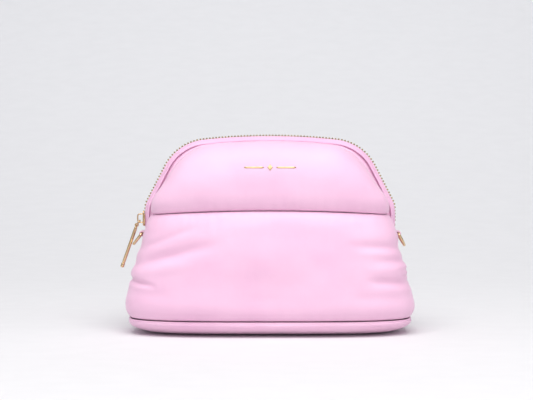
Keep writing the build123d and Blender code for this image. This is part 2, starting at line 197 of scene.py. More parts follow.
LOWER_FOLDS = {  # start, end, width, height, bow
    FRONT: [
        ((-112, 65), (-54, 88), 3.2, -1.5, 0.0), ((-110, 74), (-52, 82), 4.5, 1.0, -0.05),
        ((-128, 50), (-34, 77), 4.6, -2.7, -0.08), ((-124, 60), (-30, 84), 7.0, 1.0, -0.05),
        ((-126, 46), (-50, 60), 4.5, 1.1, -0.05), ((-121, 45.5), (-88, 40.0), 2.3, -2.8, 0.0),
        ((-120, 36), (-72, 33), 4.5, -0.8, 0.0), ((-104, 23), (-20, 25), 8.0, 0.9, 0.03),
        ((122, 66), (56, 73.5), 3.6, -1.9, 0.06), ((120, 76), (58, 80), 5.0, 0.9, 0.0),
        ((120, 58), (78, 60), 3.2, -1.5, 0.0), ((118, 67), (66, 66), 3.4, 0.9, 0.0),
        ((124, 40.5), (72, 45), 3.4, -3.0, 0.06), ((122, 52), (70, 54), 4.2, 1.3, 0.0),
        ((116, 50), (99, 52.5), 1.5, -1.3, 0.0), ((118, 46), (101, 48), 1.2, -0.9, 0.0),
        ((116, 30), (56, 31.5), 4.5, -0.9, 0.0), ((104, 24), (30, 22), 7.0, 0.7, 0.02),
        ((-62, 38), (44, 38), 13.0, -0.9, 0.02), ((-50, 66), (50, 64), 15.0, 0.7, 0.0),
    ],
    BACK: [
        ((-124, 52), (-48, 72), 4.8, -2.3, 0.08), ((-122, 62), (-50, 80), 6.0, 1.1, 0.05),
        ((-121, 42), (-84, 40), 2.4, -2.2, 0.0), ((122, 60), (46, 74), 4.6, -2.2, -0.08),
        ((120, 70), (60, 78), 5.0, 1.0, 0.0), ((122, 44), (74, 42), 3.2, -2.2, 0.05),
        ((-40, 56), (44, 60), 15.0, 0.9, 0.02), ((-60, 30), (66, 28), 9.0, -0.8, -0.03),
    ],
}
NU, NV_LOW, NV_UP = 300, 110, 84


def lower_grid(side, inset=0.0):
    """A lower panel's surface, from its base seam up to the fold seam."""
    v = np.linspace(0, 1, NV_LOW)
    v = v - 0.35 * np.sin(2 * np.pi * v) / (2 * np.pi)
    z0 = Z_BASE + v * (Z_FOLD - Z_BASE)
    ab = curve_through(z0, ROWS)
    grid = np.zeros((NU, NV_LOW, 3))
    for j, z in enumerate(z0):
        pts = outline_points(ab[j, 0] - inset, ab[j, 1] - inset, edge_depth(z), side, NU)
        grid[:, j, 0], grid[:, j, 1], grid[:, j, 2] = pts[:, 0], pts[:, 1], z
    grid[..., 2] += fold_rise(grid[..., 0]) * smooth((v[None, :] - 0.35) / 0.65)
    return grid


def outward(p):
    """Unit normals of a grid, pointing away from the bag's middle."""
    n = grid_normals(p)
    mid = p - np.array([0, 0, 70.0])
    flip = np.sign(np.sum(n * mid, axis=2, keepdims=True))
    sign = 1.0 if np.median(flip) > 0 else -1.0
    return n * sign


def lower_skin(side):
    """The padded outer surface of a lower panel, with its seams, folds and puckers."""
    p = lower_grid(side)
    n = outward(p)
    top = (Z_FOLD + fold_rise(p[..., 0])) - p[..., 2]
    low = p[..., 2] - Z_BASE
    run_u = np.linalg.norm(np.diff(p, axis=0), axis=2).cumsum(axis=0)
    along = np.concatenate([np.zeros((1, NV_LOW)), run_u])
    edge = np.minimum(along, along[-1] - along)
    drop = round_over(top, 15.0, 5.2) + round_over(low, 8.0, 2.6) + round_over(edge, 7.0, 1.5)
    out = -drop
    for f in LOWER_FOLDS[side]:
        out += crease(p, *f)
    beside_ring = ((np.abs(p[..., 0]) - 105) / 8) ** 2 + ((p[..., 2] - 69) / 8) ** 2
    out -= 1.3 * np.exp(-beside_ring)
    pucker = field(np.stack([p[..., 0] * 1.0, p[..., 1] * 0.6, p[..., 2] * 0.18], 2), 5.2, 3 + side)
    out += pucker * 0.85 * np.exp(-top / 7.0) * (1 - np.exp(-top / 1.6))
    out += pucker * 0.4 * np.exp(-low / 6.0) * (1 - np.exp(-low / 1.6))
    side_pucker = field(np.stack([p[..., 0] * 0.3, p[..., 1] * 0.3, p[..., 2]], 2), 6.0, 9 + side)
    out += side_pucker * 0.5 * np.exp(-edge / 8.0)
    out += field(p, 46.0, 5 + side) * 1.5 * smooth(top / 25) * smooth(low / 20)
    out += field(p * [1, 1, 1.6], 20.0, 6 + side) * 0.45 * smooth(top / 15) * smooth(low / 15)
    return p + n * out[..., None]


def upper_nominal(side, fold_row, inset=0.0):
    """An upper panel's plain dome from its fold row to the arch seam, before padding."""
    left = FOLD_S - 2.5
    s = np.linspace(left, LENGTH - left, NU)
    seat, out = chain(s)
    deep = seam_inset(seat[:, 0])[:, None] + inset
    arch = seat - out * deep
    arch3 = np.stack([arch[:, 0], np.full(NU, side * (SEAM_Y + 0.2 * inset)), arch[:, 1]], 1)
    v = np.linspace(0, 1, NV_UP)
    v = v - 0.3 * np.sin(2 * np.pi * v) / (2 * np.pi)
    ang = v * math.pi / 2
    power = 2 / 2.35
    up, fwd = np.sin(ang) ** power, np.cos(ang) ** power
    start = fold_row
    p = np.zeros((NU, NV_UP, 3))
    p[..., 2] = start[:, None, 2] + (arch3[:, None, 2] - start[:, None, 2]) * up
    p[..., 1] = arch3[:, None, 1] + (start[:, None, 1] - arch3[:, None, 1]) * fwd
    p[..., 0] = arch3[:, None, 0] + (start[:, None, 0] - arch3[:, None, 0]) * fwd ** 1.15
    return p


def upper_skin(side, seam_row, nominal_row):
    """The padded outer surface of an upper panel, meeting the lower panel's seam row."""
    p = upper_nominal(side, nominal_row)
    n = outward(p)
    n[:3], n[-3:] = n[3], n[-4]
    run_v = np.linalg.norm(np.diff(p, axis=1), axis=2).cumsum(axis=1)
    up = np.concatenate([np.zeros((NU, 1)), run_v], axis=1)
    down = up[:, -1:] - up
    narrow = smooth(up[:, -1:] / 30.0)
    out = -round_over(up, 13.0, 5.2) * narrow - round_over(down, 7.0, 2.2) * narrow
    out += 2.6 * np.sin(np.pi * np.clip(up / np.maximum(up[:, -1:], 1), 0, 1)) ** 0.8 * narrow
    pucker = field(np.stack([p[..., 0], p[..., 1] * 0.5, p[..., 2] * 0.16], 2), 5.0, 13 + side)
    out += pucker * 0.9 * np.exp(-up / 6.0) * (1 - np.exp(-up / 1.4)) * narrow
    out += pucker * 0.35 * np.exp(-down / 5.0) * (1 - np.exp(-down / 1.4)) * narrow
    out += field(p, 40.0, 15 + side) * 1.0 * smooth(up / 20) * smooth(down / 14) * narrow
    out += field(p * [1, 1, 1.5], 17.0, 16 + side) * 0.35 * smooth(up / 12) * smooth(down / 9) * narrow
    p = p + n * out[..., None]
    reach = np.exp(-up / 4.0)[..., None]
    return p + (seam_row[:, None] - p[:, :1]) * reach


# ------------------------------------------------------------------ meshes


def link_object(name, mesh):
    o = bpy.data.objects.new(name, mesh)
    bpy.context.scene.collection.objects.link(o)
    return o


def grid_object(name, p, side=None, thick=0.0):
    """A quad mesh through a grid of points in mm, with smooth shading."""
    nu, nv = p.shape[:2]
    idx = np.arange(nu * nv).reshape(nu, nv)
    faces = np.stack([idx[:-1, :-1], idx[1:, :-1], idx[1:, 1:], idx[:-1, 1:]], -1).reshape(-1, 4)
    if side == BACK:
        faces = faces[:, ::-1]
    mesh = bpy.data.meshes.new(name)
    mesh.from_pydata((p.reshape(-1, 3) * MM).tolist(), [], faces.tolist())
    mesh.polygons.foreach_set("use_smooth", [True] * len(mesh.polygons))
    o = link_object(name, mesh)
    if thick:
        m = o.modifiers.new("cloth_thickness", "SOLIDIFY")
        m.thickness, m.offset = thick * MM, -1
    return o


def merged(name, pieces):
    """One mesh from several (vertices in mm, faces) pairs."""
    verts, faces, base = [], [], 0
    for v, f in pieces:
        verts.append(np.asarray(v, float))
        faces += [[i + base for i in q] for q in f]
        base += len(v)
    mesh = bpy.data.meshes.new(name)
    mesh.from_pydata((np.concatenate(verts) * MM).tolist(), [], faces)
    mesh.polygons.foreach_set("use_smooth", [True] * len(mesh.polygons))
    return link_object(name, mesh)


def tube(points, radius, sides=14, closed=False, caps=True):
    """A round tube (vertices, faces) along a polyline in mm. radius may vary along it."""
    p = np.asarray(points, float)
    r = np.broadcast_to(radius, (len(p),))
    t = np.roll(p, -1, 0) - np.roll(p, 1, 0) if closed else np.gradient(p, axis=0)
    t /= np.linalg.norm(t, axis=1)[:, None]
    ref = np.array([0.0, 1.0, 0.0]) if abs(t[0, 1]) < 0.9 else np.array([1.0, 0.0, 0.0])
    rings, u = [], np.cross(t[0], ref)
    u /= np.linalg.norm(u)
    for k in range(len(p)):
        u = u - t[k] * (u @ t[k])
        u /= np.linalg.norm(u)
        w = np.cross(t[k], u)
        a = np.linspace(0, 2 * np.pi, sides, endpoint=False)
        rings.append(p[k] + r[k] * (np.cos(a)[:, None] * u + np.sin(a)[:, None] * w))
    verts = np.concatenate(rings)
    faces, m = [], len(p)
    for k in range(m if closed else m - 1):
        for i in range(sides):
            j, q = (i + 1) % sides, (k + 1) % m
            faces.append([k * sides + i, k * sides + j, q * sides + j, q * sides + i])
    if not closed and caps:
        faces.append(list(range(sides))[::-1])
        faces.append([(m - 1) * sides + i for i in range(sides)])
    return verts, faces


def lathe(axis_start, axis_end, profile, sides=32):
    """A turned solid: profile is (distance along the axis, radius) in mm."""
    a, b = np.array(axis_start, float), np.array(axis_end, float)
    d = (b - a) / np.linalg.norm(b - a)
    pts = [a + d * h for h, _ in profile]
    verts, faces = [], []
    ref = np.array([0.0, 1.0, 0.0])
    u = np.cross(d, ref)
    u /= np.linalg.norm(u)
    w = np.cross(d, u)
    ang = np.linspace(0, 2 * np.pi, sides, endpoint=False)
    for c, (_, r) in zip(pts, profile):
        verts.append(c + max(r, 1e-3) * (np.cos(ang)[:, None] * u + np.sin(ang)[:, None] * w))
    for k in range(len(profile) - 1):
        for i in range(sides):
            j = (i + 1) % sides
            faces.append([k * sides + i, k * sides + j, (k + 1) * sides + j, (k + 1) * sides + i])
    faces.append(list(range(sides))[::-1])
    faces.append([(len(profile) - 1) * sides + i for i in range(sides)])
    return np.concatenate(verts), faces


def rounded_box(size, bevel, segments=2):
    """(vertices, faces) of a box in mm with rounded edges."""
    bm = bmesh.new()
    bmesh.ops.create_cube(bm, size=1.0)
    bmesh.ops.scale(bm, vec=Vector(size), verts=bm.verts)
    bmesh.ops.bevel(bm, geom=bm.edges[:], offset=bevel, segments=segments, profile=0.5, affect="EDGES")
    bm.verts.ensure_lookup_table()
    verts = np.array([v.co[:] for v in bm.verts])
    faces = [[v.index for v in f.verts] for f in bm.faces]
    bm.free()
    return verts, faces


def place(verts, origin, x_axis, y_axis, z_axis):
    m = np.stack([x_axis, y_axis, z_axis], 0)
    return np.asarray(verts) @ m + np.asarray(origin, float)


# ------------------------------------------------------------------ materials


def new_material(name):
    m = bpy.data.materials.new(name)
    m.use_nodes = True
    nt = m.node_tree
    return m, nt, nt.nodes["Principled BSDF"]


def wire(nt, a, out, b, inp):
    nt.links.new(a.outputs[out], b.inputs[inp])


def ramp(nt, stops):
    r = nt.nodes.new("ShaderNodeValToRGB")
    e = r.color_ramp.elements
    while len(e) < len(stops):
        e.new(0.5)
    for k, (pos, col) in enumerate(stops):
        e[k].position = pos
        e[k].color = (*col, 1)
    return r


def satin(name, dark, mid, light, weave=1.0, rough=0.46, sheen=0.25):
    """A smooth woven cloth: fine diagonal weave, faint slubs, soft crumple and colour drift."""
    m, nt, bsdf = new_material(name)
    co = nt.nodes.new("ShaderNodeTexCoord")
    drift = nt.nodes.new("ShaderNodeTexNoise")
    drift.inputs["Scale"].default_value = 22.0
    drift.inputs["Detail"].default_value = 4.0
    wire(nt, co, "Object", drift, "Vector")
    tint = ramp(nt, [(0.25, dark), (0.5, mid), (0.78, light)])
    wire(nt, drift, "Fac", tint, "Fac")
    threads = []
    for angle in (38.0, -52.0):
        turn = nt.nodes.new("ShaderNodeMapping")
        turn.inputs["Rotation"].default_value = (math.radians(4), math.radians(angle), math.radians(9))
        wire(nt, co, "Object", turn, "Vector")
        w = nt.nodes.new("ShaderNodeTexWave")
        w.inputs["Scale"].default_value = 760.0 if angle > 0 else 520.0
        w.inputs["Distortion"].default_value = 0.35
        w.inputs["Detail"].default_value = 1.0
        wire(nt, turn, "Vector", w, "Vector")
        threads.append(w)
    cross = nt.nodes.new("ShaderNodeMath")
    cross.operation = "MULTIPLY_ADD"
    wire(nt, threads[0], "Fac", cross, 0)
    cross.inputs[1].default_value = 0.7
    wire(nt, threads[1], "Fac", cross, 2)
    crumple = nt.nodes.new("ShaderNodeTexNoise")
    crumple.inputs["Scale"].default_value = 130.0
    crumple.inputs["Detail"].default_value = 3.0
    wire(nt, co, "Object", crumple, "Vector")
    soft = nt.nodes.new("ShaderNodeBump")
    soft.inputs["Strength"].default_value = 0.10
    soft.inputs["Distance"].default_value = 0.0012
    wire(nt, crumple, "Fac", soft, "Height")
    fine = nt.nodes.new("ShaderNodeBump")
    fine.inputs["Strength"].default_value = 0.22 * weave
    fine.inputs["Distance"].default_value = 0.00012
    wire(nt, cross, "Value", fine, "Height")
    wire(nt, soft, "Normal", fine, "Normal")
    wire(nt, fine, "Normal", bsdf, "Normal")
    shade = nt.nodes.new("ShaderNodeMixRGB")
    shade.blend_type = "MULTIPLY"
    shade.inputs["Fac"].default_value = 1.0
    line = ramp(nt, [(0.0, (0.955, 0.945, 0.95)), (0.7, (1.0, 1.0, 1.0))])
    wire(nt, cross, "Value", line, "Fac")
    wire(nt, tint, "Color", shade, "Color1")
    wire(nt, line, "Color", shade, "Color2")
    wire(nt, shade, "Color", bsdf, "Base Color")
    gloss = nt.nodes.new("ShaderNodeMapRange")
    gloss.inputs["From Min"].default_value = 0.3
    gloss.inputs["From Max"].default_value = 0.7
    gloss.inputs["To Min"].default_value = rough - 0.04
    gloss.inputs["To Max"].default_value = rough + 0.05
    wire(nt, crumple, "Fac", gloss, "Value")
    wire(nt, gloss, "Result", bsdf, "Roughness")
    bsdf.inputs["Sheen Weight"].default_value = sheen
    bsdf.inputs["Sheen Roughness"].default_value = 0.45
    bsdf.inputs["Sheen Tint"].default_value = (1.0, 0.86, 0.95, 1)
    bsdf.inputs["Specular IOR Level"].default_value = 0.42
    return m


def gold(name, base, rough=0.16, worn=0.04):
    """Polished plating with faint brushing, smudges and softer worn spots."""
    m, nt, bsdf = new_material(name)
    co = nt.nodes.new("ShaderNodeTexCoord")
    smudge = nt.nodes.new("ShaderNodeTexNoise")
    smudge.inputs["Scale"].default_value = 420.0
    smudge.inputs["Detail"].default_value = 5.0
    wire(nt, co, "Object", smudge, "Vector")
    dark = tuple(c * 0.86 for c in base)
    tint = ramp(nt, [(0.3, dark), (0.62, base)])
    wire(nt, smudge, "Fac", tint, "Fac")
    wire(nt, tint, "Color", bsdf, "Base Color")
    gloss = nt.nodes.new("ShaderNodeMapRange")
    gloss.inputs["From Min"].default_value = 0.35
    gloss.inputs["From Max"].default_value = 0.7
    gloss.inputs["To Min"].default_value = rough
    gloss.inputs["To Max"].default_value = rough + worn * 2.5
    wire(nt, smudge, "Fac", gloss, "Value")
    wire(nt, gloss, "Result", bsdf, "Roughness")
    scratch = nt.nodes.new("ShaderNodeBump")
    scratch.inputs["Strength"].default_value = 0.05
    scratch.inputs["Distance"].default_value = 0.0001
    wire(nt, smudge, "Fac", scratch, "Height")
    wire(nt, scratch, "Normal", bsdf, "Normal")
    bsdf.inputs["Metallic"].default_value = 1.0
    return m


PINK = satin("pink_satin", (0.84, 0.50, 0.69), (0.87, 0.54, 0.72), (0.89, 0.57, 0.745))
LINER = satin(
    "lining_cloth", (0.80, 0.44, 0.62), (0.84, 0.48, 0.66), (0.87, 0.52, 0.69), rough=0.55, sheen=0.1
)
TAPE = satin(
    "zip_tape", (0.84, 0.47, 0.69), (0.87, 0.51, 0.72), (0.90, 0.55, 0.75),
    weave=2.0, rough=0.7, sheen=0.15,
)
GOLD = gold("light_gold", (0.78, 0.57, 0.33), rough=0.10)
GOLD_TEETH = gold("tooth_gold", (0.42, 0.31, 0.17), rough=0.24)
FOIL = gold("gold_foil", (0.60, 0.45, 0.24), rough=0.30)


def finish_piece(o, material, body, slot, *nodes):
    """Gives a new piece its material and body and hides the CAD nodes that it stands for; slot is not used.
    """
    o.data.materials.append(material)
    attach(o, body)
    if nodes:
        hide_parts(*nodes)
    return o


def finish_blend(o, material, slot, *nodes):
    """Gives a piece its material, bakes its transform into its mesh and hides the CAD nodes that it stands
    for; it gets no body, and slot is not used.
    """
    o.data.materials.append(material)
    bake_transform(o)
    if nodes:
        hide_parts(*nodes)
    return o


# ------------------------------------------------------------------ soft panels

def soft_panels():
    """Both lower and upper panels with their linings."""
    rows = {}
    for side, name in ((FRONT, "front"), (BACK, "back")):
        low = lower_skin(side)
        o = grid_object(f"{name}_lower_panel", low, side, thick=0.8)
        finish_piece(o, PINK, "bag", "pink_satin", f"{name}_lower_shell", f"{name}_lower_padding")
        nominal = lower_grid(side)[:, -1]
        up = upper_skin(side, low[:, -1], nominal)
        o = grid_object(f"{name}_upper_panel", up, side, thick=0.8)
        nodes = [f"{name}_upper_shell", f"{name}_upper_padding"]
        if side == FRONT:
            nodes.append("front_upper_fold_padding")
            finish_blend(o, PINK, "pink_satin", *nodes)
        else:
            finish_piece(o, PINK, "bag", "pink_satin", *nodes)
        rows[name] = (low, up)
        linings(side, name)
    return rows


def linings(side, name):
    low = lower_grid(side, inset=6.2)[::3, ::3]
    low = low.copy()
    low[..., 2] = np.maximum(low[..., 2], 6.4)
    wob = field(low, 24.0, 31 + side) * 0.9 + field(low, 9.0, 32 + side) * 0.35
    low = low - outward(low) * np.abs(wob)[..., None]
    o = grid_object(f"{name}_lower_lining_cloth", low, -side, thick=0.4)
    finish_piece(o, LINER, "bag", "lining_cloth", f"{name}_lower_lining")
    row = lower_grid(side, inset=6.2)[:, -1]
    up = upper_nominal(side, row, inset=3.4)[::3, ::3]
    wob = field(up, 22.0, 41 + side) * 0.8
    up = up - outward(up) * np.abs(wob)[..., None]
    o = grid_object(f"{name}_upper_lining_cloth", up, -side, thick=0.4)
    if side == FRONT:
        finish_blend(o, LINER, "lining_cloth", "front_upper_lining")
    else:
        finish_piece(o, LINER, "bag", "lining_cloth", "back_upper_lining")


def base_band():
    """The base: a shallow tray whose rim meets the lower panels in a piped seam."""
    table = [(0.0, 88.0, 17.0), (1.2, 95.5, 25.0), (3.0, 102.4, 32.2), (5.2, 108.2, 38.0),
             (7.5, 111.6, 41.3), (10.0, 112.9, 42.8), (Z_BASE, 112.4, 42.2)]
    rows, nu = [], 360
    heights = Z_BASE * np.linspace(0, 1, 34) ** 1.35
    for z in heights:
        a, b = curve_through(z, table)
        halves = [outline_points(a, b, 0.0, side, nu // 2 + 1) for side in (FRONT, BACK)]
        loop = np.concatenate([halves[0][:-1], halves[1][::-1][:-1]])
        rows.append(np.column_stack([loop, np.full(len(loop), z)]))
    p = np.stack(rows, 1)
    lift = 2.2 * smooth((np.hypot(p[..., 0] / 112, p[..., 1] / 44) - 0.93) / 0.3)
    p[..., 2] += lift * (1 - p[..., 2] / Z_BASE)
    n = p - p.mean(axis=0, keepdims=True)
    n[..., 2] = 0
    n /= np.linalg.norm(n, axis=2, keepdims=True)
    near = Z_BASE - p[..., 2]
    ripple = field(np.stack([p[..., 0], p[..., 1], p[..., 2] * 0.3], 2), 9.0, 51) * 0.5
    p = p + n * (ripple * (1 - np.exp(-near / 2.0)) - round_over(near, 3.0, 1.4))[..., None]
    return p


def closed_grid(name, p, cap):
    """A mesh round a closed loop of rows, with its bottom filled by shrinking rings."""
    nu, nv = p.shape[:2]
    rings = [p[:, j] for j in range(nv)]
    if cap:
        middle = p[:, 0].mean(axis=0)
        inner = [middle + (p[:, 0] - middle) * f for f in (0.96, 0.85, 0.6, 0.3, 0.02)]
        for r in inner:
            r[:, 2] = 0.0
        rings = inner[::-1] + rings
    verts = np.concatenate(rings)
    faces = []
    for j in range(len(rings) - 1):
        for i in range(nu):
            k = (i + 1) % nu
            faces.append([j * nu + i, j * nu + k, (j + 1) * nu + k, (j + 1) * nu + i])
    if cap:
        faces.append(list(range(nu))[::-1])
    return merged(name, [(verts, faces)])


def base_parts():
    p = base_band()
    o = closed_grid("base_panel", p, cap=True)
    m = o.modifiers.new("cloth_thickness", "SOLIDIFY")
    m.thickness, m.offset = 0.8 * MM, -1
    finish_piece(o, PINK, "bag", "pink_satin", "base_shell")
    rim = p[:, -1].copy()
    rim[:, 2] = Z_BASE - 0.5
    middle = rim.mean(axis=0)
    out = (rim - middle) / np.linalg.norm(rim - middle, axis=1)[:, None]
    cord = merged("base_seam_piping", [tube(rim + out * 0.9, 0.75, 10, closed=True)])
    finish_piece(cord, PINK, "bag", "pink_satin")
    floor = np.stack([outline_points(104.5, 36.5, 0.0, s, 90) for s in (FRONT, BACK)])
    loop = np.concatenate([floor[0][:-1], floor[1][::-1][:-1]])
    rows = []
    for f in np.linspace(0.02, 1, 22):
        rows.append(np.column_stack([loop * f, np.full(len(loop), 6.0 + 2.2 * f**8)]))
    q = np.stack(rows, 1)
    q[..., 2] += field(q, 26.0, 61) * 0.5
    o = closed_grid("base_lining_cloth", q, cap=False)
    finish_piece(o, LINER, "bag", "lining_cloth", "base_lining", "base_padding", "base_board")


# ------------------------------------------------------------------ zip


def facing_rows(side):
    """The folded strip beside the zip: from the panel's seam, over the edge and back under."""
    s = np.linspace(0.2, LENGTH - 0.2, 420)
    seat, out = chain(s)
    deep = seam_inset(seat[:, 0])
    below = smooth((Z_FOLD - 2 - seat[:, 1]) / 12)
    rows = []
    section = [  # fraction of the way to the teeth, how far it sinks
        (0.0, -1.0), (0.0, 0.0), (0.18, 0.0), (0.4, 0.0), (0.62, 0.0), (0.82, 0.0),
        (0.94, -0.12), (1.0, -0.45), (0.95, -0.85), (0.8, -1.0),
    ]
    for f, sink in section:
        y = SEAM_Y + (3.75 - SEAM_Y) * f
        lift = -deep * (1 - below * 0.55) * (1 - f) - 0.55 * f
        lift += 0.3 * math.sin(math.pi * f) + sink * 0.6
        pos = seat + out * lift[:, None]
        rows.append(np.column_stack([pos[:, 0], np.full(len(s), side * y), pos[:, 1]]))
    p = np.stack(rows, 1)
    ripple = field(np.stack([p[..., 0], p[..., 1] * 0.2, p[..., 2]], 2), 7.0, 71 + side) * 0.28
    n = outward(p)
    return p + n * (ripple * np.array([0, 0, 1, 1, 1, 1, 0.6, 0.3, 0, 0]))[..., None]


def stitches(name, points, outwards, pitch=2.6, length=1.9, radius=0.17):
    """A row of short thread stitches lying along a polyline in mm."""
    points, outwards = np.asarray(points, float), np.asarray(outwards, float)
    run = np.concatenate([[0], np.cumsum(np.linalg.norm(np.diff(points, axis=0), axis=1))])
    pieces = []
    for k in range(int(run[-1] / pitch)):
        at = (k + 0.5) * pitch + np.linspace(-0.5, 0.5, 5) * length
        p = np.stack([np.interp(at, run, points[:, i]) for i in range(3)], 1)
        o = np.stack([np.interp(at, run, outwards[:, i]) for i in range(3)], 1)
        arch = np.array([-0.16, 0.05, 0.1, 0.05, -0.16])[:, None]
        pieces.append(tube(p + o * arch, radius * np.array([0.7, 1, 1, 1, 0.7]), 6))
    return merged(name, pieces)


def tooth_shape():
    """One tooth: a clamped leg, a narrow neck and a rounded head, across the chain along +Y."""
    leg_v, leg_f = rounded_box((1.2, 1.5, 2.7), 0.26)
    neck_v, neck_f = rounded_box((0.95, 1.6, 1.5), 0.22)
    head_v, head_f = rounded_box((1.2, 1.35, 2.3), 0.36, 3)
    leg_v = leg_v + [0, 2.35, 0]
    neck_v = neck_v + [0, 1.2, 0]
    head_v = head_v + [0, 0.05, 0]
    return [(leg_v, leg_f), (neck_v, neck_f), (head_v, head_f)]


def teeth_row(side, s_from, s_to):
    shape = tooth_shape()
    shift = 0.625 * side
    count = int(LENGTH / PITCH)
    pieces = []
    for i in range(count):
        s = (i + 0.5) * PITCH + shift
        if not s_from < s < s_to:
            continue
        seat, out = chain(s)
        o = np.array([out[0, 0], 0, out[0, 1]])
        t = np.array([out[0, 1], 0, -out[0, 0]])
        y = np.array([0.0, side, 0.0])
        clear = smooth((min(s, LENGTH - s) - BELOW - 12) / 6)  # level inside the slider
        lift = clear * (0.75 if side == FRONT else -0.3)
        origin = np.array([seat[0, 0], 0, seat[0, 1]]) + lift * o
        for v, f in shape:
            pieces.append((place(v, origin, t, y, o), f))
    return pieces


def tape_rows(side, low, high):
    """The woven tape, from its cord by the teeth to its outer edge."""
    s = np.linspace(low, high, 360)
    seat, out = chain(s)
    rows = []
    section = [
        (2.2, -0.1), (2.6, 0.3), (3.0, 0.35), (3.4, -0.1),
        (3.6, -0.45), (5.0, -0.75), (7.0, -1.6), (8.6, -3.0),
    ]
    for y, lift in section:
        pos = seat + out * lift
        rows.append(np.column_stack([pos[:, 0], np.full(len(s), side * y), pos[:, 1]]))
    return np.stack(rows, 1)


def zip_parts():
    for side, name in ((FRONT, "front"), (BACK, "back")):
        p = facing_rows(side)
        strip = grid_object(f"{name}_facing_strip", p, side, thick=0.5)
        tape = grid_object(f"{name}_tape_woven", tape_rows(side, 2.5, LENGTH - 2.5), side, thick=0.5)
        row = merged(f"{name}_teeth_row", teeth_row(side, 3.5 + BELOW, LENGTH - 3.5 - BELOW))
        n = outward(p)
        line = stitches(f"{name}_facing_stitches", p[4:-4, 5], n[4:-4, 5])
        tape_nodes = [f"{name}_zip_tape"]
        teeth_nodes = [f"{name}_zip_teeth"]
        if side == BACK:
            tape_nodes.append("zip_end_tapes")
            teeth_nodes += ["left_end_teeth", "right_end_teeth"]
        parts = [
            (strip, PINK, "pink_satin", [f"{name}_zip_facing"]),
            (tape, TAPE, "zip_tape", tape_nodes),
            (row, GOLD_TEETH, "gold", teeth_nodes),
            (line, PINK, "pink_satin", []),
        ]
        for o, mat, slot, nodes in parts:
            if side == FRONT:
                finish_blend(o, mat, slot, *nodes)
            else:
                finish_piece(o, mat, "bag", slot, *nodes)
    for node in ("zip_top_stops", "zip_bottom_stop"):
        shade_cad(node, GOLD_TEETH)


def shade_cad(node, material):
    """Gives a CAD node that stays its material and smooth edges."""
    o = NODES[node]
    o.data.materials.clear()
    o.data.materials.append(material)
    for poly in o.data.polygons:
        poly.use_smooth = False
    m = o.modifiers.new("soft_edges", "BEVEL")
    m.width, m.segments, m.limit_method, m.angle_limit = 0.12 * MM, 2, "ANGLE", math.radians(40)


# ------------------------------------------------------------------ slider, puller and rings

LINK_AXIS = np.array([-104.2, 0.0, 89.1])
LINK_TILT, BAR_TILT = math.radians(35.0), math.radians(19.5)
LINK_WIDE, LINK_DROP = 5.4, 4.4
BAR_AXIS = LINK_AXIS + LINK_DROP * np.array([-math.sin(LINK_TILT), 0, -math.cos(LINK_TILT)])
BAR_RADIUS, BAR_LENGTH = 1.3, 31.0
RING_HALF, RING_DROP, RING_WIRE = 8.0, 11.0, 1.1
RING_X, RING_Z = 102.4, 79.0  # the rings' hinge axes
LEFT_RING_TILT, RIGHT_RING_TILT = math.radians(37.5), math.radians(28.0)


def slider_parts():
    """The slider: two waisted plates with rims, a wedge, and the arched crown."""
    up, y, out = np.array([0, 0, 1.0]), np.array([0, 1.0, 0]), np.array([-1.0, 0, 0])
    origin = np.array([-CHAIN_R, 0, Z_ENDS])
    ang = np.linspace(0, 2 * np.pi, 96, endpoint=False)
    c, s = np.cos(ang), np.sin(ang)
    px = 6.2 * np.sign(c) * np.abs(c) ** 0.62
    half = 3.7 + 0.9 * smooth((-px + 2.0) / 7.0) + 0.25 * smooth((px - 3) / 3)
    py = half * np.sign(s) * np.abs(s) ** 0.55
    plate = [  # scale of the plate's outline, height
        (0.90, 1.5), (1.0, 1.65), (1.0, 2.3), (0.975, 2.52), (0.91, 2.66), (0.6, 2.74), (0.02, 2.76),
    ]
    pieces = []
    for sign in (-1, 1):
        rings = []
        for scale, h in plate:
            rings.append(np.column_stack([px * scale, py * scale, np.full(96, sign * h)]))
        verts, faces = np.concatenate(rings), []
        for k in range(len(rings) - 1):
            for i in range(96):
                j = (i + 1) % 96
                q = [k * 96 + i, k * 96 + j, (k + 1) * 96 + j, (k + 1) * 96 + i]
                faces.append(q if sign > 0 else q[::-1])
        faces.append(list(range(96))[::-1] if sign > 0 else list(range(96)))
        pieces.append((place(verts, origin, up, y, out), faces))
        for side in (FRONT, BACK):
            v, f = rounded_box((8.2, 1.1, 1.0), 0.3)
            pieces.append((place(v + [-0.6, side * 3.95, sign * 1.15], origin, up, y, out), f))
    v, f = rounded_box((2.4, 1.4, 3.2), 0.3)
    pieces.append((place(v + [-4.9, 0, 0], origin, up, y, out), f))
    body = merged("slider_plates", pieces)
    finish_piece(body, GOLD, "slider", "gold", "slider_body")
    arch = [(-3.35, 2.4), (-3.35, 4.6), (-3.25, 5.7), (-2.8, 6.45), (-2.0, 6.85), (0.0, 6.95), (2.0, 6.85),
            (2.8, 6.45), (3.25, 5.7), (3.35, 4.6), (3.35, 2.4)]
    line = resample(np.array([[a, 0, b] for a, b in arch]), 60)
    v, f = tube(line, 0.55, 16)
    v = v * [1, 1.75, 1]
    crown = merged("slider_arch", [(place(v, origin, up, y, out), f)])
    finish_piece(crown, GOLD, "slider", "gold", "slider_crown")


def hanging_points(pts, axis, tilt, side):
    """Points (across, down) in a hanging piece's plane, to row coordinates."""
    pts = np.asarray(pts, float)
    down = np.array([side * math.sin(tilt), 0, -math.cos(tilt)])
    return axis + pts[:, :1] * np.array([0, 1.0, 0]) + pts[:, 1:2] * down


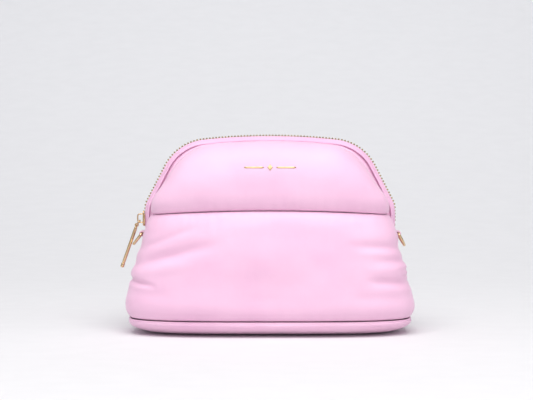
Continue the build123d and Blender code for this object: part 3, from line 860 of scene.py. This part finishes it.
def loop_points(width, drop, corner, count=120):
    """A rounded rectangle (across, down) whose top bar lies at 0."""
    pts = []
    for cx, cy, a0 in ((width / 2 - corner, corner, -90), (width / 2 - corner, drop - corner, 0),
                       (-width / 2 + corner, drop - corner, 90), (-width / 2 + corner, corner, 180)):
        for a in np.radians(np.linspace(a0, a0 + 90, 12)):
            pts.append((cx + corner * math.cos(a), cy + corner * math.sin(a)))
    pts.append(pts[0])
    return resample(pts, count + 1)[:-1]


def ring_points():
    """The D-ring's centreline (across, down): a straight bar, tight corners and a round bow."""
    half, drop = RING_HALF, RING_DROP
    r = (half * half + drop * drop) / (2 * drop)
    cy = drop - r
    a0 = math.atan2(0 - cy, half)
    ang = np.linspace(a0, math.pi - a0, 160)
    bow = np.column_stack([r * np.cos(ang), cy + r * np.sin(ang)])
    pts = np.concatenate([[[-half, 0]], [[half, 0]], bow[1:-1]])
    pts = resample(np.concatenate([pts, pts[:1]]), 241)[:-1]
    for _ in range(60):
        pts = 0.5 * pts + 0.25 * (np.roll(pts, 1, 0) + np.roll(pts, -1, 0))
    pts[:, 1] -= pts[:, 1].min()
    return pts


def hardware():
    slider_parts()
    link = hanging_points(loop_points(LINK_WIDE, LINK_DROP, 1.6), LINK_AXIS, LINK_TILT, -1)
    o = merged("puller_loop", [tube(link, 0.68, 16, closed=True)])
    finish_piece(o, GOLD, "link", "gold", "puller_link")
    down = np.array([-math.sin(BAR_TILT), 0, -math.cos(BAR_TILT)])
    eye = []
    ang = np.linspace(0, 2 * np.pi, 48, endpoint=False)
    eye_line = BAR_AXIS + 1.22 * np.column_stack([np.cos(ang), np.zeros(48), np.sin(ang)])
    v, f = tube(eye_line, 0.46, 14, closed=True)
    eye.append(((v - BAR_AXIS) * [1, 2.2, 1] + BAR_AXIS, f))
    start = BAR_AXIS + down * 1.35
    shaft = [(0, 0.75), (0.5, 0.98), (1.2, 1.2), (2.2, BAR_RADIUS)]
    shaft += [(BAR_LENGTH - 0.8, BAR_RADIUS), (BAR_LENGTH - 0.5, 1.2)]
    shaft += [(BAR_LENGTH - 0.3, 1.02), (BAR_LENGTH, 1.02)]
    eye.append(lathe(start, start + down * BAR_LENGTH, shaft, 36))
    o = merged("puller_rod", eye)
    finish_piece(o, GOLD, "puller", "gold", "puller_bar")
    tip = start + down * (BAR_LENGTH - 0.1)
    cap = [
        (0, 1.1), (0.12, 1.3), (0.35, 1.45), (0.8, 1.5), (3.0, 1.5),
        (3.4, 1.42), (3.7, 1.2), (3.85, 0.8), (3.9, 0.02),
    ]
    o = merged("puller_tip", [lathe(tip, tip + down * 4, cap, 36)])
    finish_piece(o, GOLD, "puller", "gold", "puller_cap")
    ring = ring_points()
    for side, name, tilt in ((-1, "left", LEFT_RING_TILT), (1, "right", RIGHT_RING_TILT)):
        axis = np.array([side * RING_X, 0, RING_Z])
        line = hanging_points(ring, axis, tilt, side)
        o = merged(f"{name}_ring_wire", [tube(line, RING_WIRE, 18, closed=True)])
        finish_piece(o, GOLD, f"{name}_ring", "gold", f"{name}_d_ring")
        ring_tab(name, side, axis)


def ring_tab(name, side, axis):
    """The folded fabric loop round the ring's bar, tucked into the side seam."""
    top = [(-8.5, 1.7), (-5.5, 1.75), (-2.6, 1.75)]
    arc = [(1.75 * math.cos(a), 1.75 * math.sin(a)) for a in np.radians(np.linspace(100, -100, 26))]
    low = [(-2.6, -1.7), (-5.5, -1.7), (-8.5, -1.7)]
    line = resample(np.array(top + arc + low), 64)
    across = np.linspace(-4.75, 4.75, 20)
    p = np.zeros((20, 64, 3))
    p[..., 0] = axis[0] + side * line[None, :, 0]
    p[..., 1] = across[:, None]
    p[..., 2] = axis[2] + line[None, :, 1] - 0.15
    p[..., 2] += field(p, 5.0, 81 + side) * 0.12
    o = grid_object(f"{name}_tab_loop", p, FRONT if side > 0 else BACK, thick=0.0)
    m = o.modifiers.new("cloth_thickness", "SOLIDIFY")
    m.thickness, m.offset = 0.8 * MM, 0
    finish_piece(o, PINK, "bag", "pink_satin", f"{name}_ring_tab")


MARK_Z = 133.0


def foil_mark(front_up):
    """A plain lozenge between two bars, laid on the upper front panel's surface."""
    flat = front_up.reshape(-1, 3)
    flat = flat[np.abs(flat[:, 0]) < 40]

    def on_surface(x, z):
        d = (flat[:, 0] - x) ** 2 + (flat[:, 2] - z) ** 2
        k = np.argsort(d)[:6]
        w = 1 / (d[k] + 0.05)
        return (flat[k, 1] * w).sum() / w.sum()

    shapes = []
    loz = [(0, 2.5), (2.1, 0), (0, -2.5), (-2.1, 0)]
    shapes.append(loz)
    for s in (-1, 1):
        a, b = 4.6 * s, 20.5 * s
        p, q = a + 1.2 * s, b - 1.2 * s
        shapes.append([(a, 0.0), (p, 0.62), (q, 0.62), (b, 0.0), (q, -0.62), (p, -0.62)])
    pieces = []
    for shape in shapes:
        ring = resample(np.array(shape + shape[:1]), 60)[:-1]
        mid = ring.mean(axis=0)
        rings = [mid + (ring - mid) * f for f in (0.02, 0.35, 0.7, 1.0)]
        verts = []
        for r in rings:
            verts.append(np.array([(x, on_surface(x, z + MARK_Z) - 0.22, z + MARK_Z) for x, z in r]))
        edge = verts[-1] + [0, 0.3, 0]
        verts.append(edge)
        faces = []
        m = len(ring)
        for k in range(4):
            for i in range(m):
                j = (i + 1) % m
                faces.append([k * m + i, k * m + j, (k + 1) * m + j, (k + 1) * m + i])
        pieces.append((np.concatenate(verts), faces))
    o = merged("foil_ornament", pieces)
    finish_blend(o, FOIL, "gold_foil", "foil_mark")


# ------------------------------------------------------------------ stage, light and camera


def stage():
    """A pale floor that sweeps up into a plain backdrop."""
    prof = [(-3.0, 0.0), (-1.0, 0.0), (0.35, 0.0)]
    prof += [(0.35 + 2.4 * math.sin(a), 2.4 - 2.4 * math.cos(a)) for a in np.linspace(0.03, math.pi / 2, 40)]
    prof += [(2.75, 4.0)]
    xs = (-4.0, 4.0)
    verts = [(x, y, z) for y, z in prof for x in xs]
    faces = [[2 * i, 2 * i + 1, 2 * i + 3, 2 * i + 2] for i in range(len(prof) - 1)]
    mesh = bpy.data.meshes.new("backdrop")
    mesh.from_pydata(verts, [], faces)
    mesh.polygons.foreach_set("use_smooth", [True] * len(faces))
    o = link_object("backdrop", mesh)
    m, nt, bsdf = new_material("backdrop_paper")
    n = nt.nodes.new("ShaderNodeTexNoise")
    n.inputs["Scale"].default_value = 300.0
    r = ramp(nt, [(0.3, (0.77, 0.77, 0.778)), (0.7, (0.785, 0.785, 0.793))])
    wire(nt, n, "Fac", r, "Fac")
    wire(nt, r, "Color", bsdf, "Base Color")
    bsdf.inputs["Roughness"].default_value = 0.9
    bsdf.inputs["Specular IOR Level"].default_value = 0.15
    mesh.materials.append(m)


def area_light(name, at, aim, size, power, color=(1, 1, 1)):
    data = bpy.data.lights.new(name, "AREA")
    data.shape, data.size, data.size_y = "RECTANGLE", size[0], size[1]
    data.energy, data.color = power, color
    o = bpy.data.objects.new(name, data)
    o.location = at
    o.rotation_euler = (Vector(aim) - Vector(at)).to_track_quat("-Z", "Y").to_euler()
    bpy.context.scene.collection.objects.link(o)


def lights():
    world = bpy.data.worlds.new("studio")
    bpy.context.scene.world = world
    world.use_nodes = True
    nt = world.node_tree
    sky = nt.nodes["Background"]
    sky.inputs[1].default_value = 0.62
    co = nt.nodes.new("ShaderNodeTexCoord")
    turn = nt.nodes.new("ShaderNodeMapping")
    turn.vector_type = "TEXTURE"
    turn.inputs["Rotation"].default_value = (math.radians(74.0), 0, math.radians(-18.0))
    wire(nt, co, "Generated", turn, "Vector")
    split = nt.nodes.new("ShaderNodeSeparateXYZ")
    wire(nt, turn, "Vector", split, "Vector")
    half = nt.nodes.new("ShaderNodeMath")
    half.operation = "MULTIPLY_ADD"
    half.inputs[1].default_value, half.inputs[2].default_value = 0.5, 0.5
    wire(nt, split, "Z", half, 0)
    room = ramp(nt, [(0.30, (0.02, 0.018, 0.018)), (0.45, (0.22, 0.22, 0.23)), (0.64, (0.93, 0.94, 1.0))])
    wire(nt, half, "Value", room, "Fac")
    wire(nt, room, "Color", sky, "Color")
    area_light("overhead_softbox", (0.0, -0.62, 1.3), (0, 0.0, 0.08), (1.5, 0.9), 17.8, (1.0, 0.985, 0.97))
    area_light("front_fill", (0.2, -1.5, 1.1), (0, 0, 0.08), (1.1, 0.8), 3.2, (1.0, 0.99, 0.98))
    area_light("right_strip", (1.2, -0.5, 0.6), (0, 0, 0.08), (0.5, 1.2), 1.5)
    area_light("backdrop_wash", (0.0, 0.7, 1.6), (0, 2.3, 0.7), (2.4, 0.6), 10.0)
    view = bpy.context.scene.view_settings
    view.view_transform = "Standard"
    view.look = "None"


def camera():
    data = bpy.data.cameras.new("camera")
    o = bpy.data.objects.new("camera", data)
    bpy.context.scene.collection.objects.link(o)
    distance, elevation = 1.25, math.radians(3.5)
    target = Vector((-0.0028, 0.0, 0.1055))
    away = Vector((0.0, -math.cos(elevation), math.sin(elevation)))
    o.location = target + away * distance
    o.rotation_euler = (-away).to_track_quat("-Z", "Y").to_euler()
    data.sensor_width = 36.0
    data.lens = 36.0 * distance / 0.4264
    bpy.context.scene.camera = o


camera()
panels = soft_panels()
base_parts()
zip_parts()
hardware()
foil_mark(panels["front"][1])
stage()
lights()
